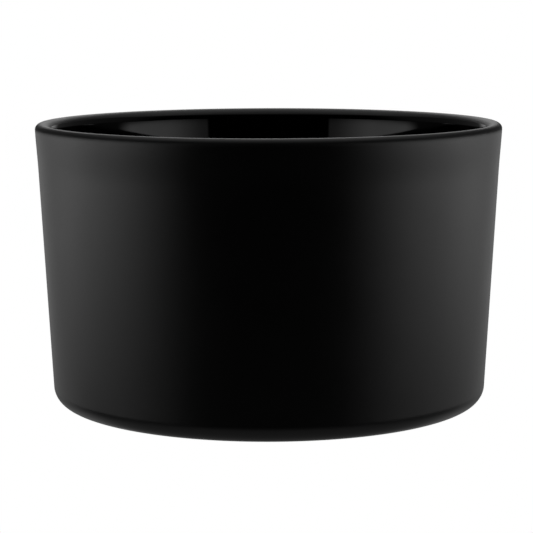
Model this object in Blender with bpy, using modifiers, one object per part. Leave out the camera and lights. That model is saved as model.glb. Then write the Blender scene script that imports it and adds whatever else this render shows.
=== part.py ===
"""Empty candle jar: a low, wide glass bowl with a satin black lacquer over its outside.

Run it with blender --background --python part.py, or from Blender's text editor.
Units are metres and +Z is up. The origin is the centre of the base, on the surface that the jar stands on.

The jar has two bodies. glass_vessel is the pressed glass bowl, bare and glossy on its inside. lacquer_coat is
the film sprayed on it: it starts just inside the lip, runs over the lip, down the wall and round the heel, and
covers the underside. Both follow one skin, which is the outside of the finished jar. The skin is drawn once, as
a chain of arcs and lines, and each body's surface is that chain set back by its own depth.
"""

import math

import bpy

# Driving dimensions of the finished jar, lacquer included
RIM_DIAMETER = 0.1120  # over the bead of the lip, the widest place
HEIGHT = 0.0676
DRAFT_DEG = 3.09  # how far the outside of the wall leans out from the vertical
HEEL_RADIUS = 0.0042  # the round between the wall and the base
LIP_OUTER_RADIUS = 0.00135  # the round of the lip's outer side
LIP_INNER_RADIUS = 0.0025  # the longer round of its inner side
LIP_CREST_WIDTH = 0.0002  # the level ring between the two rounds
BEAD_PROUD = 0.00015  # how far the lip's bead stands out from the wall's line
BEARING_RING_WIDTH = 0.0045  # the flat ring that the jar stands on
PUSH_UP = 0.0012  # how far the middle of the underside is raised
PUSH_UP_RUN = 0.0060  # the width of the slope from the ring up to the middle

# The glass
INNER_DRAFT_DEG = 4.9  # the inside of the wall leans out more than its outside, so the wall is thicker below
GLASS_FLOOR = 0.0060
INNER_HEEL_RADIUS = 0.0055  # the round between the inside of the wall and the floor

# The lacquer
LACQUER_FILM = 0.0003
LACQUER_EDGE_DROP = 0.0012  # how far the film's edge is below the lip's crest, inside
FILM_GAP = 0.0003  # clearance between the film and the glass

# How finely round shapes are divided
TURN_STEPS = 64
LIP_SEGMENTS = 4
LIP_FOOT_SEGMENTS = 3
HEEL_SEGMENTS = 5
PUSH_UP_SEGMENTS = 4
MERGE_DISTANCE = 0.000001

# Sizes that follow from these
DRAFT = math.radians(DRAFT_DEG)
INNER_DRAFT = math.radians(INNER_DRAFT_DEG)
FILM_DEPTH = LACQUER_FILM + FILM_GAP
RIM_RADIUS = RIM_DIAMETER / 2
BEAD_Z = HEIGHT - LIP_OUTER_RADIUS
FLOOR_Z = PUSH_UP + FILM_DEPTH + GLASS_FLOOR
LIP_OUTER_CENTRE = (RIM_RADIUS - LIP_OUTER_RADIUS, BEAD_Z)
LIP_INNER_CENTRE = (LIP_OUTER_CENTRE[0] - LIP_CREST_WIDTH, HEIGHT - LIP_INNER_RADIUS)
LACQUER_EDGE_ANGLE = math.pi - math.asin(1 - LACQUER_EDGE_DROP / LIP_INNER_RADIUS)


def wall_radius(z, depth=0.0):
    """Radius of the line of the wall's outside at height z, set back by depth at right angles to it."""
    neck_radius = RIM_RADIUS - BEAD_PROUD
    return neck_radius - (BEAD_Z - z) * math.tan(DRAFT) - depth / math.cos(DRAFT)


def inner_wall_radius(z):
    """Radius of the line of the wall's inside at height z. It touches the lip's inner round."""
    centre_radius, centre_z = LIP_INNER_CENTRE
    return centre_radius - LIP_INNER_RADIUS / math.cos(INNER_DRAFT) - (centre_z - z) * math.tan(INNER_DRAFT)


def on_circle(centre, radius, angle):
    """The point at an angle on a circle in the (radius, height) plane."""
    return centre[0] + radius * math.cos(angle), centre[1] + radius * math.sin(angle)


def arc(centre, radius, start, end, segments):
    """Points on an arc in the (radius, height) plane, from angle start to angle end."""
    return [on_circle(centre, radius, start + (end - start) * i / segments) for i in range(segments + 1)]


def heel_centre():
    """Centre of the round between the wall's outside and the base."""
    return wall_radius(HEEL_RADIUS) - HEEL_RADIUS / math.cos(DRAFT), HEEL_RADIUS


def lip_outline(depth):
    """The lip set back by depth, from the lacquer's edge inside it to the outside of its bead."""
    inner = arc(LIP_INNER_CENTRE, LIP_INNER_RADIUS - depth, LACQUER_EDGE_ANGLE, math.pi / 2, LIP_SEGMENTS)
    outer = arc(LIP_OUTER_CENTRE, LIP_OUTER_RADIUS - depth, math.pi / 2, 0.0, LIP_SEGMENTS)
    return inner + outer


def wall_outline(depth):
    """The bead's underside, the wall and the heel, set back by depth, down to the bearing ring."""
    bead_foot_z = BEAD_Z - LIP_OUTER_RADIUS
    heel = arc(heel_centre(), HEEL_RADIUS - depth, -DRAFT, -math.pi / 2, HEEL_SEGMENTS)
    return [(wall_radius(bead_foot_z, depth), bead_foot_z)] + heel


def underside_outline(depth):
    """The bearing ring's inner edge, the slope up from it and the level middle, set back by depth."""
    ring_inner = heel_centre()[0] - BEARING_RING_WIDTH
    outline = []
    for i in range(PUSH_UP_SEGMENTS + 1):
        share = i / PUSH_UP_SEGMENTS
        rise = PUSH_UP * (1 - math.cos(math.pi * share)) / 2
        outline.append((ring_inner - PUSH_UP_RUN * share, rise + depth))
    return outline + [(0.0, PUSH_UP + depth)]


def skin(depth=0.0):
    """The outside of the jar set back by depth, from the lacquer's edge to the middle of the underside."""
    return lip_outline(depth) + wall_outline(depth) + underside_outline(depth)


def glass_inside():
    """The bare inside of the glass, from the middle of the floor to the ledge below the lacquer's edge."""
    round_z = FLOOR_Z + INNER_HEEL_RADIUS
    round_centre = inner_wall_radius(round_z) - INNER_HEEL_RADIUS / math.cos(INNER_DRAFT), round_z
    floor_round = arc(round_centre, INNER_HEEL_RADIUS, -math.pi / 2, -INNER_DRAFT, HEEL_SEGMENTS)
    ledge_angle = LACQUER_EDGE_ANGLE + FILM_GAP / LIP_INNER_RADIUS
    lip_foot = arc(LIP_INNER_CENTRE, LIP_INNER_RADIUS, math.pi - INNER_DRAFT, ledge_angle, LIP_FOOT_SEGMENTS)
    ledge_end = on_circle(LIP_INNER_CENTRE, LIP_INNER_RADIUS - FILM_DEPTH, ledge_angle)
    return [(0.0, FLOOR_Z)] + floor_round + lip_foot + [ledge_end]


def turned(name, outline, material, collection):
    """A body turned about Z, from an outline of (radius, height) points that starts and ends on the axis.

    The outline goes up the body's inner surface and comes down its outer one.
    """
    mesh = bpy.data.meshes.new(name)
    edges = [(i, i + 1) for i in range(len(outline) - 1)]
    mesh.from_pydata([(radius, 0.0, z) for radius, z in outline], edges, [])
    mesh.materials.append(material)
    body = bpy.data.objects.new(name, mesh)
    collection.objects.link(body)
    screw = body.modifiers.new("Turn", "SCREW")
    screw.axis = "Z"
    screw.angle = math.tau
    screw.steps = TURN_STEPS
    screw.render_steps = TURN_STEPS
    screw.use_merge_vertices = True
    screw.merge_threshold = MERGE_DISTANCE
    screw.use_smooth_shade = True
    return body


def finish(name, colour, roughness):
    """A plain material with the finish's colour and roughness."""
    material = bpy.data.materials.new(name)
    material.use_nodes = True
    shader = material.node_tree.nodes["Principled BSDF"]
    shader.inputs["Base Color"].default_value = (*colour, 1.0)
    shader.inputs["Roughness"].default_value = roughness
    shader.inputs["Metallic"].default_value = 0.0
    return material


def build():
    """Clears the scene and makes the two bodies of the jar."""
    for old in list(bpy.data.objects):
        bpy.data.objects.remove(old)
    collection = bpy.data.collections.new("candle_jar")
    bpy.context.scene.collection.children.link(collection)

    gloss_glass = finish("gloss_black_glass", (0.004, 0.004, 0.004), 0.03)
    satin_lacquer = finish("satin_black_lacquer", (0.008, 0.008, 0.008), 0.38)

    turned("glass_vessel", glass_inside() + skin(FILM_DEPTH), gloss_glass, collection)
    film_inner_face = list(reversed(skin(LACQUER_FILM)))
    turned("lacquer_coat", film_inner_face + skin(), satin_lacquer, collection)


build()
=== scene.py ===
"""Looks of the empty candle jar: a low glass bowl, gloss black inside and satin black outside and over its lip.

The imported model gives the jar's place and its overall size. Two finely turned pieces stand for its two nodes:
the glass, which is bare inside, and the lacquer sprayed on it. Both are turned by one Geometry Nodes tree from
a half-section made of arcs and lines. A tent of diffusion lights them from the sides, from behind and from
above, and they stand on a plain pale floor.

Lengths are in metres. Angles are in radians, except in the light tent, whose bands are in degrees.
"""

import logging
import math
from dataclasses import dataclass
from enum import Enum
from typing import Union

import bpy
from mathutils import Euler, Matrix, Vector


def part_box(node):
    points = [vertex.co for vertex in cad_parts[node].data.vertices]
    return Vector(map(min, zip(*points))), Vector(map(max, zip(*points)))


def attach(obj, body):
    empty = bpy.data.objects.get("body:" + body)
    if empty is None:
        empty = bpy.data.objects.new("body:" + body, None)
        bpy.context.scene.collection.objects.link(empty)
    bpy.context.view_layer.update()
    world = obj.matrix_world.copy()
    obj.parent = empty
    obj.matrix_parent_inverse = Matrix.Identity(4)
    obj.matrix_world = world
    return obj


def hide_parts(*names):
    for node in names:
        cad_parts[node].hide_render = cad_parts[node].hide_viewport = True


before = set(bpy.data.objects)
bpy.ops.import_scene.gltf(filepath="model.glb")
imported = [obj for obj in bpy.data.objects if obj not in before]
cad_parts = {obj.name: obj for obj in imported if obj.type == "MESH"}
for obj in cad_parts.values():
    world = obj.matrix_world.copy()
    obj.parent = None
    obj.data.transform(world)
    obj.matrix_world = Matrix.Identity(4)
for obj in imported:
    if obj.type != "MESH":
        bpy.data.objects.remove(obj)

LOG = logging.getLogger("candle_jar")
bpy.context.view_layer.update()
BODY = "root"
COAT_THICKNESS = 0.00005  # the film that is drawn
COAT_CLEARANCE = 0.00001  # the glass is set back this much more, under the film
TURN_STEPS = 256  # how many faces go round a piece
WELD_DISTANCE = 0.0000005
CORNER_ANGLE = math.radians(40.0)  # an edge that bends more than this is drawn sharp
QUARTER_TURN = math.pi / 2
WHITE = (1.0, 1.0, 1.0, 1.0)

Point = tuple[float, float]  # a radius and a height
Outline = list[Point]
Colour = tuple[float, float, float]


# ---------------------------------------------------------------- node trees


class Value:
    """An output socket of a node tree, with arithmetic that adds Math nodes."""

    def __init__(self, graph: "Graph", socket: bpy.types.NodeSocket) -> None:
        """Wraps a socket.

        Args:
            graph: The tree that the socket is in.
            socket: The output socket.
        """
        self.graph = graph
        self.socket = socket

    def _math(self, operation: str, first: "Operand", second: "Operand") -> "Value":
        """The output of a Math node on two operands."""
        return self.graph.function(operation, {0: first, 1: second})

    def __add__(self, other: "Operand") -> "Value":
        """This value plus another."""
        return self._math("ADD", self, other)

    def __radd__(self, other: "Operand") -> "Value":
        """Another value plus this one."""
        return self._math("ADD", other, self)

    def __sub__(self, other: "Operand") -> "Value":
        """This value less another."""
        return self._math("SUBTRACT", self, other)

    def __rsub__(self, other: "Operand") -> "Value":
        """Another value less this one."""
        return self._math("SUBTRACT", other, self)

    def __mul__(self, other: "Operand") -> "Value":
        """This value times another."""
        return self._math("MULTIPLY", self, other)

    def __rmul__(self, other: "Operand") -> "Value":
        """Another value times this one."""
        return self._math("MULTIPLY", other, self)


Operand = Union[Value, float, int]
Setting = Union[str, int, float, bool]
Sockets = dict[Union[str, int], object]


@dataclass(frozen=True)
class Pattern:
    """A noise pattern: the size of its features, and how many finer layers it has."""

    size: float
    detail: float


class Graph:
    """A shader or geometry tree that is written as expressions."""

    MIX_FIRST_COLOUR = 6
    MIX_SECOND_COLOUR = 7
    MIX_COLOUR_RESULT = 2

    def __init__(self, tree: bpy.types.NodeTree) -> None:
        """Starts from an empty tree.

        Args:
            tree: The tree, whose default nodes are removed.
        """
        self.tree = tree
        tree.nodes.clear()

    def node(self, kind: str, settings: dict[str, Setting], inputs: Sockets, output: Union[str, int] = 0) -> Value:
        """Adds a node.

        Args:
            kind: The node's type.
            settings: Its properties, which are set first.
            inputs: Its sockets, by name or number, each with a value or a Value to link.
            output: The output that is wanted, by name or number.

        Returns:
            The wanted output. A node with no output gives its first input.
        """
        made = self.tree.nodes.new(kind)
        for name, setting in settings.items():
            setattr(made, name, setting)
        for name, given in inputs.items():
            socket = made.inputs[name]
            if isinstance(given, Value):
                self.tree.links.new(given.socket, socket)
            else:
                socket.default_value = given
        return Value(self, made.outputs[output] if made.outputs else made.inputs[0])

    def other_output(self, value: Value, output: Union[str, int]) -> Value:
        """Another output of the node that a value comes from."""
        return Value(self, value.socket.node.outputs[output])

    def function(self, operation: str, operands: Sockets) -> Value:
        """The output of a Math node."""
        return self.node("ShaderNodeMath", {"operation": operation}, operands)

    def smooth_step(self, value: Value, start: float, end: float) -> Value:
        """0 before start, 1 after end and smooth between them.

        Args:
            value: The value to step on.
            start: Where the step starts.
            end: Where the step ends.

        Returns:
            The stepped value.
        """
        ramp = {"Value": value, "From Min": start, "From Max": end}
        return self.node("ShaderNodeMapRange", {"interpolation_type": "SMOOTHSTEP"}, ramp)

    def place(self) -> Value:
        """The place on the piece, from the jar's origin."""
        return self.node("ShaderNodeTexCoord", {}, {}, "Object")

    def noise(self, place: Value, pattern: Pattern) -> Value:
        """Noise from 0 to 1, read at a place."""
        inputs = {"Vector": place, "Scale": 1.0 / pattern.size, "Detail": pattern.detail}
        return self.node("ShaderNodeTexNoise", {"noise_dimensions": "3D"}, inputs)

    def tone(self, colour: Colour, reach: float, noise: Value) -> Value:
        """A colour that noise makes darker and lighter.

        Args:
            colour: The colour.
            reach: The share of it that the noise takes off or adds at most.
            noise: The noise, from 0 to 1.

        Returns:
            The colour at each place.
        """
        darkest, lightest = ((*[share * c for c in colour], 1.0) for share in (1.0 - reach, 1.0 + reach))
        inputs = {"Factor": noise, self.MIX_FIRST_COLOUR: darkest, self.MIX_SECOND_COLOUR: lightest}
        return self.node("ShaderNodeMix", {"data_type": "RGBA"}, inputs, self.MIX_COLOUR_RESULT)

    def bump(self, height: Value, metres: float) -> Value:
        """A normal for a surface that rises by a height from 0 to 1, times a number of metres."""
        return self.node("ShaderNodeBump", {}, {"Height": height, "Distance": metres})

    def surface(self, colour: Value, roughness: Value, normal: Value, ior: float) -> None:
        """Ends a material in a Principled shader.

        Args:
            colour: The base colour.
            roughness: The roughness.
            normal: The normal.
            ior: The index of refraction, which is the same all over.
        """
        inputs = {"Base Color": colour, "Roughness": roughness, "IOR": ior, "Normal": normal}
        shader = self.node("ShaderNodeBsdfPrincipled", {}, inputs)
        self.node("ShaderNodeOutputMaterial", {}, {"Surface": shader})


def swing(noise: Value, reach: float) -> Value:
    """Noise from 0 to 1 as a change that goes as far below zero as above it."""
    return (noise - 0.5) * (2.0 * reach)


def new_material(name: str) -> tuple[bpy.types.Material, Graph]:
    """Makes a material.

    Args:
        name: Its name.

    Returns:
        The material and its tree, which is empty.
    """
    made = bpy.data.materials.new(name)
    made.use_nodes = True
    return made, Graph(made.node_tree)


# ---------------------------------------------------------------- finishes


@dataclass(frozen=True)
class SatinLacquer:
    """Sprayed black lacquer that dries to a soft sheen, with a fine orange peel.

    The film dries rougher over the lip, and the heel is rubbed a little smoother by handling.
    """

    colour: Colour = (0.0018, 0.0018, 0.0019)
    tone_reach: float = 0.2
    roughness: float = 0.31
    clouds: Pattern = Pattern(0.011, 3.0)
    cloud_reach: float = 0.03
    mist: Pattern = Pattern(0.0007, 2.0)
    mist_reach: float = 0.03
    lip_dryness: float = 0.15
    lip_depth: float = 0.0020  # how far below the crest the dry band starts
    lip_full_depth: float = 0.0010  # how far below the crest it is at its driest
    heel_rub: float = 0.035
    heel_height: float = 0.0030
    peel: Pattern = Pattern(0.0014, 2.0)
    peel_height: float = 0.0000045
    ior: float = 1.5

    def material(self, height: float) -> bpy.types.Material:
        """Makes the material.

        Args:
            height: The height of the jar, which places the band over the lip.

        Returns:
            The material.
        """
        made, graph = new_material("satin_black_lacquer")
        place = graph.place()
        z = graph.node("ShaderNodeSeparateXYZ", {}, {0: place}, "Z")
        clouds = graph.noise(place, self.clouds)
        near_lip = graph.smooth_step(z, height - self.lip_depth, height - self.lip_full_depth)
        near_heel = 1.0 - graph.smooth_step(z, 0.0, self.heel_height)
        roughness = (
            self.roughness
            + swing(clouds, self.cloud_reach)
            + swing(graph.noise(place, self.mist), self.mist_reach)
            + near_lip * self.lip_dryness
            - near_heel * self.heel_rub
        )
        tone = graph.tone(self.colour, self.tone_reach, clouds)
        normal = graph.bump(graph.noise(place, self.peel), self.peel_height)
        graph.surface(tone, roughness, normal, self.ior)
        return made


@dataclass(frozen=True)
class GlossGlass:
    """Pressed glass with black lacquer behind it: deep black under a fire-polished face.

    The face keeps a very slight waviness from the mould and a faint haze.
    """

    colour: Colour = (0.0012, 0.0012, 0.0013)
    tone_reach: float = 0.15
    roughness: float = 0.030
    haze: Pattern = Pattern(0.009, 3.0)
    haze_reach: float = 0.012
    waves: Pattern = Pattern(0.016, 1.0)
    wave_height: float = 0.0000015
    ior: float = 1.52

    def material(self) -> bpy.types.Material:
        """Makes the material.

        Returns:
            The material.
        """
        made, graph = new_material("gloss_black_glass")
        place = graph.place()
        haze = graph.noise(place, self.haze)
        tone = graph.tone(self.colour, self.tone_reach, haze)
        roughness = self.roughness + swing(haze, self.haze_reach)
        normal = graph.bump(graph.noise(place, self.waves), self.wave_height)
        graph.surface(tone, roughness, normal, self.ior)
        return made


# ---------------------------------------------------------------- the jar


def on_circle(centre: Point, radius: float, angle: float) -> Point:
    """The point at an angle on a circle in the (radius, height) plane."""
    return centre[0] + radius * math.cos(angle), centre[1] + radius * math.sin(angle)


def eased(share: float) -> float:
    """A share from 0 to 1, moved along half a cosine wave so that it starts and ends level."""
    return (1.0 - math.cos(math.pi * share)) / 2


def arc(centre: Point, radius: float, start: float, end: float, steps: int) -> Outline:
    """Points on an arc, both ends included.

    Args:
        centre: The arc's centre in the (radius, height) plane.
        radius: Its radius.
        start: The angle it starts at.
        end: The angle it ends at.
        steps: How many steps it takes.

    Returns:
        The points.
    """
    return [on_circle(centre, radius, start + (end - start) * i / steps) for i in range(steps + 1)]


def line(start: Point, end: Point, steps: int) -> Outline:
    """Points strictly between two ends, closer together near the ends.

    They keep smooth shading true along a straight stretch.

    Args:
        start: The stretch's start, in the (radius, height) plane.
        end: Its end.
        steps: How many steps the stretch takes.

    Returns:
        The points, without the two ends.
    """
    shares = [eased(i / steps) for i in range(1, steps)]
    return [(start[0] + (end[0] - start[0]) * s, start[1] + (end[1] - start[1]) * s) for s in shares]


@dataclass(frozen=True)
class Section:
    """Half-section of the finished jar. The rim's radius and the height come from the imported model."""

    rim_radius: float
    height: float
    draft: float = math.radians(3.09)
    inner_draft: float = math.radians(4.9)
    lip_outer_radius: float = 0.00135
    lip_inner_radius: float = 0.0025
    lip_crest_width: float = 0.0002
    bead_proud: float = 0.00015
    bead_fall: float = 0.0100  # how far down the wall the bead runs out
    heel_radius: float = 0.0042
    bearing_ring_width: float = 0.0045
    push_up: float = 0.0012
    push_up_run: float = 0.0060
    floor_z: float = 0.0078
    inner_heel_radius: float = 0.0055
    coat_edge_drop: float = 0.0011  # how far below the crest the lacquer ends, inside
    round_steps: int = 16
    straight_steps: int = 24

    @property
    def lip_outer_centre(self) -> Point:
        """Centre of the lip's outer round."""
        return self.rim_radius - self.lip_outer_radius, self.height - self.lip_outer_radius

    @property
    def lip_inner_centre(self) -> Point:
        """Centre of the lip's inner round."""
        return self.lip_outer_centre[0] - self.lip_crest_width, self.height - self.lip_inner_radius

    @property
    def coat_edge_angle(self) -> float:
        """The angle on the lip's inner round where the lacquer starts."""
        return math.pi - math.asin(1.0 - self.coat_edge_drop / self.lip_inner_radius)

    def wall_radius(self, z: float, depth: float = 0.0) -> float:
        """Radius of the line of the wall's outside.

        Args:
            z: The height.
            depth: How far the line is set back.

        Returns:
            The radius.
        """
        neck_radius = self.rim_radius - self.bead_proud
        fall = self.lip_outer_centre[1] - z
        return neck_radius - fall * math.tan(self.draft) - depth / math.cos(self.draft)

    def inner_wall_radius(self, z: float) -> float:
        """Radius of the line of the wall's inside.

        Args:
            z: The height.

        Returns:
            The radius.
        """
        centre_radius, centre_z = self.lip_inner_centre
        touch = centre_radius - self.lip_inner_radius / math.cos(self.inner_draft)
        return touch - (centre_z - z) * math.tan(self.inner_draft)

    def lip(self, depth: float) -> Outline:
        """The lip.

        Args:
            depth: How far the outline is set back.

        Returns:
            The points, from the lacquer's edge over the crest to the outside of the bead.
        """
        inner_radius, outer_radius = self.lip_inner_radius - depth, self.lip_outer_radius - depth
        inner = arc(self.lip_inner_centre, inner_radius, self.coat_edge_angle, QUARTER_TURN, self.round_steps)
        outer = arc(self.lip_outer_centre, outer_radius, QUARTER_TURN, -self.draft, self.round_steps)
        return inner + outer

    def bead_foot(self, depth: float) -> Outline:
        """The soft hollow below the bead, where it runs out into the wall.

        Args:
            depth: How far the outline is set back.

        Returns:
            The points, going down.
        """
        top_z = self.lip_outer_centre[1] - self.lip_outer_radius * math.sin(self.draft)
        points = []
        for i in range(1, self.round_steps + 1):
            share = i / self.round_steps
            z = top_z - self.bead_fall * share
            proud = self.bead_proud * (1.0 - eased(share))
            points.append((self.wall_radius(z, depth) + proud, z))
        return points

    def heel_and_underside(self, depth: float) -> Outline:
        """The heel, the bearing ring and the raised middle.

        Args:
            depth: How far the outline is set back.

        Returns:
            The points, from the foot of the wall to the axis.
        """
        centre = self.wall_radius(self.heel_radius) - self.heel_radius / math.cos(self.draft), self.heel_radius
        heel = arc(centre, self.heel_radius - depth, -self.draft, -QUARTER_TURN, self.round_steps)
        ring_inner = centre[0] - self.bearing_ring_width
        slope = []
        for i in range(self.round_steps + 1):
            share = i / self.round_steps
            slope.append((ring_inner - self.push_up_run * share, self.push_up * eased(share) + depth))
        middle = (0.0, self.push_up + depth)
        ring = line(heel[-1], slope[0], self.straight_steps)
        return heel + ring + slope + line(slope[-1], middle, self.straight_steps) + [middle]

    def skin(self, depth: float = 0.0) -> Outline:
        """The outside of the jar.

        Args:
            depth: How far the outline is set back.

        Returns:
            The points, from the lacquer's edge to the middle of the underside.
        """
        upper = self.lip(depth) + self.bead_foot(depth)
        lower = self.heel_and_underside(depth)
        return upper + line(upper[-1], lower[0], self.straight_steps) + lower

    def glass_inside(self) -> Outline:
        """The bare inside of the glass.

        Returns:
            The points, from the middle of the floor to the lacquer's edge.
        """
        heel_z = self.floor_z + self.inner_heel_radius
        heel_centre = self.inner_wall_radius(heel_z) - self.inner_heel_radius / math.cos(self.inner_draft), heel_z
        heel = arc(heel_centre, self.inner_heel_radius, -QUARTER_TURN, -self.inner_draft, self.round_steps)
        centre, radius = self.lip_inner_centre, self.lip_inner_radius
        lip_foot = arc(centre, radius, math.pi - self.inner_draft, self.coat_edge_angle, self.round_steps)
        middle = (0.0, self.floor_z)
        floor = [middle] + line(middle, heel[0], self.straight_steps)
        wall = line(heel[-1], lip_foot[0], self.straight_steps)
        return floor + heel + wall + lip_foot


class TurningTree:
    """The Geometry Nodes tree that turns an outline about Z into a closed body.

    Its first input is a mesh whose points are the outline, in order, in the XZ plane, starting and ending on the
    axis. The outline goes up the body's inner surface and comes down its outer one.
    """

    STEPS = "Steps"
    WELD = "Weld distance"
    CORNER = "Corner angle"
    MATERIAL = "Material"
    LATTICE_SIZE = 1.0  # the lattice is centred on the origin

    def __init__(self) -> None:
        """Builds the tree."""
        self.tree = bpy.data.node_groups.new("turned body", "GeometryNodeTree")
        graph = Graph(self.tree)
        sockets = self.tree.interface
        sockets.new_socket("Outline", in_out="INPUT", socket_type="NodeSocketGeometry")
        sockets.new_socket(self.STEPS, in_out="INPUT", socket_type="NodeSocketInt")
        sockets.new_socket(self.WELD, in_out="INPUT", socket_type="NodeSocketFloat")
        sockets.new_socket(self.CORNER, in_out="INPUT", socket_type="NodeSocketFloat")
        sockets.new_socket(self.MATERIAL, in_out="INPUT", socket_type="NodeSocketMaterial")
        sockets.new_socket("Body", in_out="OUTPUT", socket_type="NodeSocketGeometry")

        outline = graph.node("NodeGroupInput", {}, {}, "Outline")
        body = self._turned(graph, outline)
        weld = graph.other_output(outline, self.WELD)
        body = graph.node("GeometryNodeMergeByDistance", {}, {"Geometry": body, "Distance": weld})
        body = self._shaded(graph, body, graph.other_output(outline, self.CORNER))
        body = graph.node("GeometryNodeRealizeInstances", {}, {"Geometry": body})
        material = graph.other_output(outline, self.MATERIAL)
        body = graph.node("GeometryNodeSetMaterial", {}, {"Geometry": body, "Material": material})
        graph.node("NodeGroupOutput", {}, {"Body": body})

    def _turned(self, graph: Graph, outline: Value) -> Value:
        """A square lattice, rolled up so that each of its rows is a turn of one of the outline's points.

        Args:
            graph: The tree.
            outline: The outline.

        Returns:
            The rolled lattice.
        """
        count = graph.node("GeometryNodeAttributeDomainSize", {"component": "MESH"}, {0: outline}, "Point Count")
        size = {"Size X": self.LATTICE_SIZE, "Size Y": self.LATTICE_SIZE}
        columns = graph.other_output(outline, self.STEPS) + 1
        lattice = graph.node("GeometryNodeMeshGrid", {}, {**size, "Vertices X": columns, "Vertices Y": count})
        corner = graph.node("GeometryNodeInputPosition", {}, {})
        across = graph.node("ShaderNodeSeparateXYZ", {}, {0: corner}, "X")
        row = (graph.other_output(across, "Y") + self.LATTICE_SIZE / 2) * (count - 1)
        index = graph.node("FunctionNodeFloatToInt", {"rounding_mode": "ROUND"}, {0: row})
        outline_place = graph.node(
            "GeometryNodeSampleIndex",
            {"data_type": "FLOAT_VECTOR", "domain": "POINT"},
            {"Geometry": outline, "Value": graph.node("GeometryNodeInputPosition", {}, {}), "Index": index},
        )
        radius = graph.node("ShaderNodeSeparateXYZ", {}, {0: outline_place}, "X")
        height = graph.other_output(radius, "Z")
        turn = across * math.tau
        x, y = (radius * graph.function(wave, {0: turn}) for wave in ("COSINE", "SINE"))
        place = graph.node("ShaderNodeCombineXYZ", {}, {0: x, 1: y, 2: height})
        return graph.node("GeometryNodeSetPosition", {}, {"Geometry": lattice, "Position": place})

    def _shaded(self, graph: Graph, body: Value, corner_angle: Value) -> Value:
        """The body shaded smooth, except at its corners.

        Args:
            graph: The tree.
            body: The body.
            corner_angle: The bend from which an edge is a corner.

        Returns:
            The shaded body.
        """
        body = graph.node("GeometryNodeSetShadeSmooth", {"domain": "FACE"}, {"Geometry": body})
        bend = graph.node("GeometryNodeInputMeshEdgeAngle", {}, {}, "Unsigned Angle")
        soft = graph.node("FunctionNodeCompare", {"operation": "LESS_THAN"}, {0: bend, 1: corner_angle})
        return graph.node("GeometryNodeSetShadeSmooth", {"domain": "EDGE"}, {"Geometry": body, "Shade Smooth": soft})

    def identifier(self, name: str) -> str:
        """The identifier of one of the tree's inputs."""
        return next(item.identifier for item in self.tree.interface.items_tree if item.name == name)

    def turn(self, name: str, outline: Outline, steps: int, material: bpy.types.Material) -> bpy.types.Object:
        """Turns an outline into a piece with a plain mesh.

        Args:
            name: The piece's name.
            outline: The (radius, height) points.
            steps: How many faces go round the body.
            material: The body's material.

        Returns:
            The piece.
        """
        profile = bpy.data.meshes.new(name + "_outline")
        edges = [(i, i + 1) for i in range(len(outline) - 1)]
        profile.from_pydata([(radius, 0.0, z) for radius, z in outline], edges, [])
        piece = bpy.data.objects.new(name, profile)
        bpy.context.scene.collection.objects.link(piece)
        modifier = piece.modifiers.new("turned", "NODES")
        modifier.node_group = self.tree
        modifier[self.identifier(self.STEPS)] = steps
        modifier[self.identifier(self.WELD)] = WELD_DISTANCE
        modifier[self.identifier(self.CORNER)] = CORNER_ANGLE
        modifier[self.identifier(self.MATERIAL)] = material
        evaluated = piece.evaluated_get(bpy.context.evaluated_depsgraph_get())
        mesh = bpy.data.meshes.new_from_object(evaluated)
        mesh.name = name
        piece.modifiers.clear()
        piece.data = mesh
        bpy.data.meshes.remove(profile)
        return piece


@dataclass
class Glass:
    """The pressed glass bowl. It reaches from the floor up to the lacquer's edge, and the coat hides the rest."""

    section: Section
    finish: GlossGlass
    set_back: float  # how far its outside lies under the jar's skin
    steps: int = TURN_STEPS
    name: str = "pressed_glass_bowl"

    def build(self, turning: TurningTree) -> bpy.types.Object:
        """Turns the bowl and dresses it.

        Args:
            turning: The tree that turns it.

        Returns:
            The piece.
        """
        outline = self.section.glass_inside() + self.section.skin(self.set_back)
        piece = turning.turn(self.name, outline, self.steps, self.finish.material())
        return self.place(piece)

    def place(self, piece: bpy.types.Object) -> bpy.types.Object:
        """Puts the piece in the glass node's stead.

        Args:
            piece: The turned bowl.

        Returns:
            The piece.
        """
        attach(piece, BODY)
        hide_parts("glass_vessel")
        return piece


@dataclass
class Coat:
    """The lacquer film, from its edge inside the lip over the outside to the middle of the underside."""

    section: Section
    finish: SatinLacquer
    thickness: float
    steps: int = TURN_STEPS
    name: str = "satin_lacquer_coat"

    def build(self, turning: TurningTree) -> bpy.types.Object:
        """Turns the film and dresses it.

        Args:
            turning: The tree that turns it.

        Returns:
            The piece.
        """
        under_face = list(reversed(self.section.skin(self.thickness)))
        outline = under_face + self.section.skin()
        piece = turning.turn(self.name, outline, self.steps, self.finish.material(self.section.height))
        return self.place(piece)

    def place(self, piece: bpy.types.Object) -> bpy.types.Object:
        """Puts the piece in the lacquer node's stead.

        Args:
            piece: The turned film.

        Returns:
            The piece.
        """
        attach(piece, BODY)
        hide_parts("lacquer_coat")
        return piece


# ---------------------------------------------------------------- the studio


class Azimuth(Enum):
    """Bands of azimuth in degrees, from the camera's side round to the back, over which the light changes."""

    ROOF_IN = (30.0, 110.0)
    STRIP_IN = (33.7, 35.3)
    STRIP_FULL = (34.5, 62.0)
    STRIP_OUT = (82.0, 94.0)
    SHEET_IN = (34.5, 84.0)
    HAZE_IN = (60.0, 90.0)
    REAR_IN = (98.0, 142.0)
    TOP_RISES = (105.0, 125.0)
    CORNER_IN = (157.0, 167.0)
    BACK_IN = (160.0, 180.0)


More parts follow.
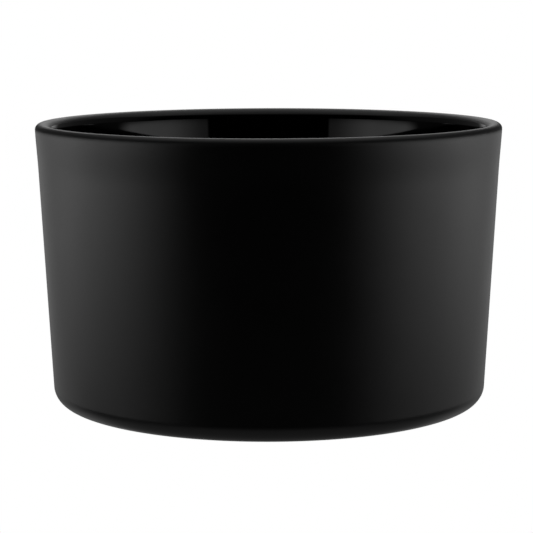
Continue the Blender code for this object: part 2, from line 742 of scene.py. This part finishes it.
class Elevation(Enum):
    """Bands of elevation in degrees over which the light changes."""

    LOW_IN = (-50.0, -30.0)
    BELOW_OUT = (-40.0, -20.0)
    SHEET_IN = (-15.0, -7.0)
    CORNER_IN = (-5.0, 2.0)
    CORNER_OUT = (20.0, 36.0)
    STRIP_IN = (0.0, 2.5)
    HAZE_IN = (0.0, 6.0)
    BACK_IN = (0.0, 22.0)
    BACK_OUT = (30.0, 55.0)
    ROOF_IN = (34.0, 62.0)


@dataclass(frozen=True)
class Direction:
    """A direction in the world, as azimuth from the camera's side and elevation, in degrees."""

    graph: Graph
    azimuth: Value
    elevation: Value

    @classmethod
    def seen_by(cls, graph: Graph) -> "Direction":
        """The direction that the world is looked up in. It is the same on the left and on the right.

        Args:
            graph: The world's tree.

        Returns:
            The direction.
        """
        direction = graph.node("ShaderNodeTexCoord", {}, {}, "Generated")
        x = graph.node("ShaderNodeSeparateXYZ", {}, {0: direction}, "X")
        y, z = graph.other_output(x, "Y"), graph.other_output(x, "Z")
        azimuth = graph.function("ARCTAN2", {0: graph.function("ABSOLUTE", {0: x}), 1: 0.0 - y})
        elevation = graph.function("ARCSINE", {0: z})
        return cls(graph, azimuth * math.degrees(1.0), elevation * math.degrees(1.0))

    def after(self, band: Azimuth) -> Value:
        """0 in front of a band of azimuth and 1 behind it."""
        return self.graph.smooth_step(self.azimuth, *band.value)

    def above(self, band: Elevation) -> Value:
        """0 below a band of elevation and 1 above it."""
        return self.graph.smooth_step(self.elevation, *band.value)

    def below(self, band: Elevation) -> Value:
        """1 below a band of elevation and 0 above it."""
        return 1.0 - self.above(band)


@dataclass
class LightTent:
    """The light round the jar, which depends only on the direction.

    A sheet of diffusion stands at each side and runs round to the rear. Its top is just above the mouth: it
    slopes down going back, and rises again at the rear. A dimmer strip forms its front end above the mouth. A
    tall panel stands behind the jar, with a dim one in each corner beside it. There is a soft light above and a
    weaker one below, and the front is dark. The camera itself sees plain white.
    """

    # radiances, where plain white is 1
    sheet: float = 2.10
    rear: float = 0.50
    strip_edge: float = 0.21
    strip: float = 0.88
    corner: float = 0.27
    back: float = 2.00
    back_low: float = 0.28
    below: float = 0.20
    overhead: float = 0.75
    haze: float = 0.07
    room: float = 0.001
    overhead_front: float = 0.4  # the share of the overhead light that is left in front
    # the sheet's top edge, as its elevation in degrees at the front, and how it changes going back
    top: float = 5.72
    top_slope: float = 0.0225
    top_bend: float = 0.00037
    top_rise: float = 1.6
    top_blur: float = 0.10

    def build(self) -> None:
        """Makes the world."""
        world = bpy.data.worlds.new("light_tent")
        world.use_nodes = True
        graph = Graph(world.node_tree)
        tent = graph.node("ShaderNodeBackground", {}, {"Strength": self.light(graph)})
        white = graph.node("ShaderNodeBackground", {}, {"Color": WHITE, "Strength": 1.0})
        seen = graph.node("ShaderNodeLightPath", {}, {}, "Is Camera Ray")
        either = graph.node("ShaderNodeMixShader", {}, {0: seen, 1: tent, 2: white})
        graph.node("ShaderNodeOutputWorld", {}, {"Surface": either})
        bpy.context.scene.world = world

    def light(self, graph: Graph) -> Value:
        """The radiance in each direction."""
        direction = Direction.seen_by(graph)
        return self._sides(direction) + self._behind(direction) + self._around(direction) + self.room

    def _sides(self, direction: Direction) -> Value:
        """The sheet at the sides and the strip at its front end, both ending at one top edge.

        Args:
            direction: The direction.

        Returns:
            Their radiance.
        """
        rear = direction.after(Azimuth.REAR_IN)
        rise = direction.after(Azimuth.TOP_RISES)
        over_mouth = direction.above(Elevation.STRIP_IN)
        turn = direction.azimuth - Azimuth.SHEET_IN.value[0]
        top = self.top - turn * (self.top_slope + turn * self.top_bend) + rise * self.top_rise
        below_top = direction.graph.smooth_step(top - direction.elevation, 0.0, self.top_blur)
        sheet = direction.after(Azimuth.SHEET_IN) * self.sheet - rear * (self.sheet - self.rear)
        sheet = sheet * direction.above(Elevation.SHEET_IN) * (1.0 - over_mouth * (1.0 - rise))
        strip = self.strip_edge + direction.after(Azimuth.STRIP_FULL) * (self.strip - self.strip_edge)
        strip = strip * direction.after(Azimuth.STRIP_IN) * over_mouth * (1.0 - direction.after(Azimuth.STRIP_OUT))
        return (sheet + strip) * below_top * (1.0 - direction.after(Azimuth.BACK_IN))

    def _behind(self, direction: Direction) -> Value:
        """The tall panel behind, the corners beside it and the low light under the sheet's rear.

        Args:
            direction: The direction.

        Returns:
            Their radiance.
        """
        corner = direction.after(Azimuth.CORNER_IN) * self.corner
        corner = corner * direction.above(Elevation.CORNER_IN) * direction.below(Elevation.CORNER_OUT)
        back = direction.after(Azimuth.BACK_IN) * self.back
        back = back * direction.above(Elevation.BACK_IN) * direction.below(Elevation.BACK_OUT)
        low = direction.after(Azimuth.REAR_IN) * self.back_low
        low = low * direction.above(Elevation.LOW_IN) * direction.below(Elevation.SHEET_IN)
        return corner + back + low

    def _around(self, direction: Direction) -> Value:
        """The light above, the light below and the haze at the sides.

        Args:
            direction: The direction.

        Returns:
            Their radiance.
        """
        below = direction.below(Elevation.BELOW_OUT) * self.below
        share = self.overhead_front + (1.0 - self.overhead_front) * direction.after(Azimuth.ROOF_IN)
        roof = direction.above(Elevation.ROOF_IN) * share * self.overhead
        haze = direction.after(Azimuth.HAZE_IN) * direction.above(Elevation.HAZE_IN) * self.haze
        return below + roof + haze


@dataclass
class Floor:
    """The plain pale floor, just under the jar.

    It is as bright as the background, so its edge doesn't show. Only the camera sees it, and from below it is
    clear, so that the jar's underside can be looked at.
    """

    reach: float = 0.4
    gap: float = 0.0002

    def build(self) -> bpy.types.Object:
        """Makes the floor.

        Returns:
            The floor.
        """
        data = bpy.data.meshes.new("floor")
        r, z = self.reach, -self.gap
        data.from_pydata([(-r, -r, z), (r, -r, z), (r, r, z), (-r, r, z)], [], [(0, 1, 2, 3)])
        data.materials.append(self.material())
        floor = bpy.data.objects.new("floor", data)
        bpy.context.scene.collection.objects.link(floor)
        floor.visible_diffuse = floor.visible_glossy = floor.visible_transmission = floor.visible_shadow = False
        return floor

    def material(self) -> bpy.types.Material:
        """Plain white from above and clear from below.

        Returns:
            The material.
        """
        made, graph = new_material("pale_floor")
        white = graph.node("ShaderNodeEmission", {}, {"Color": WHITE, "Strength": 1.0})
        clear = graph.node("ShaderNodeBsdfTransparent", {}, {})
        from_below = graph.node("ShaderNodeNewGeometry", {}, {}, "Backfacing")
        either = graph.node("ShaderNodeMixShader", {}, {0: from_below, 1: white, 2: clear})
        graph.node("ShaderNodeOutputMaterial", {}, {"Surface": either})
        return made


@dataclass
class CameraStand:
    """The camera, a little above the mouth of the jar and tilted down at it."""

    aside: float = -0.0004
    distance: float = 0.4733
    height: float = 0.0991
    pitch: float = math.radians(8.03)
    roll: float = math.radians(0.14)
    lens: float = 132.5  # in millimetres, like the sensor's width
    sensor: float = 36.0
    nearest: float = 0.01  # what is closer isn't drawn

    def build(self) -> bpy.types.Object:
        """Makes the camera and looks through it.

        Returns:
            The camera.
        """
        data = bpy.data.cameras.new("camera")
        data.lens = self.lens
        data.sensor_width = self.sensor
        data.clip_start = self.nearest
        camera = bpy.data.objects.new("camera", data)
        camera.location = (self.aside, -self.distance, self.height)
        camera.rotation_euler = Euler((QUARTER_TURN - self.pitch, self.roll, 0.0), "XYZ")
        bpy.context.scene.collection.objects.link(camera)
        bpy.context.scene.camera = camera
        return camera


def main() -> None:
    """Builds the jar and the studio, and reports each piece."""
    logging.basicConfig(level=logging.INFO, format="%(name)s: %(message)s")
    bpy.context.scene.view_settings.view_transform = "Standard"
    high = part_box("lacquer_coat")[1]
    section = Section(rim_radius=high.x, height=high.z)
    turning = TurningTree()
    glass = Glass(section, GlossGlass(), COAT_THICKNESS + COAT_CLEARANCE)
    coat = Coat(section, SatinLacquer(), COAT_THICKNESS)
    for part in (glass, coat):
        piece = part.build(turning)
        LOG.info("%s: %d faces", piece.name, len(piece.data.polygons))
    LightTent().build()
    Floor().build()
    CameraStand().build()


if __name__ == "__main__":
    main()
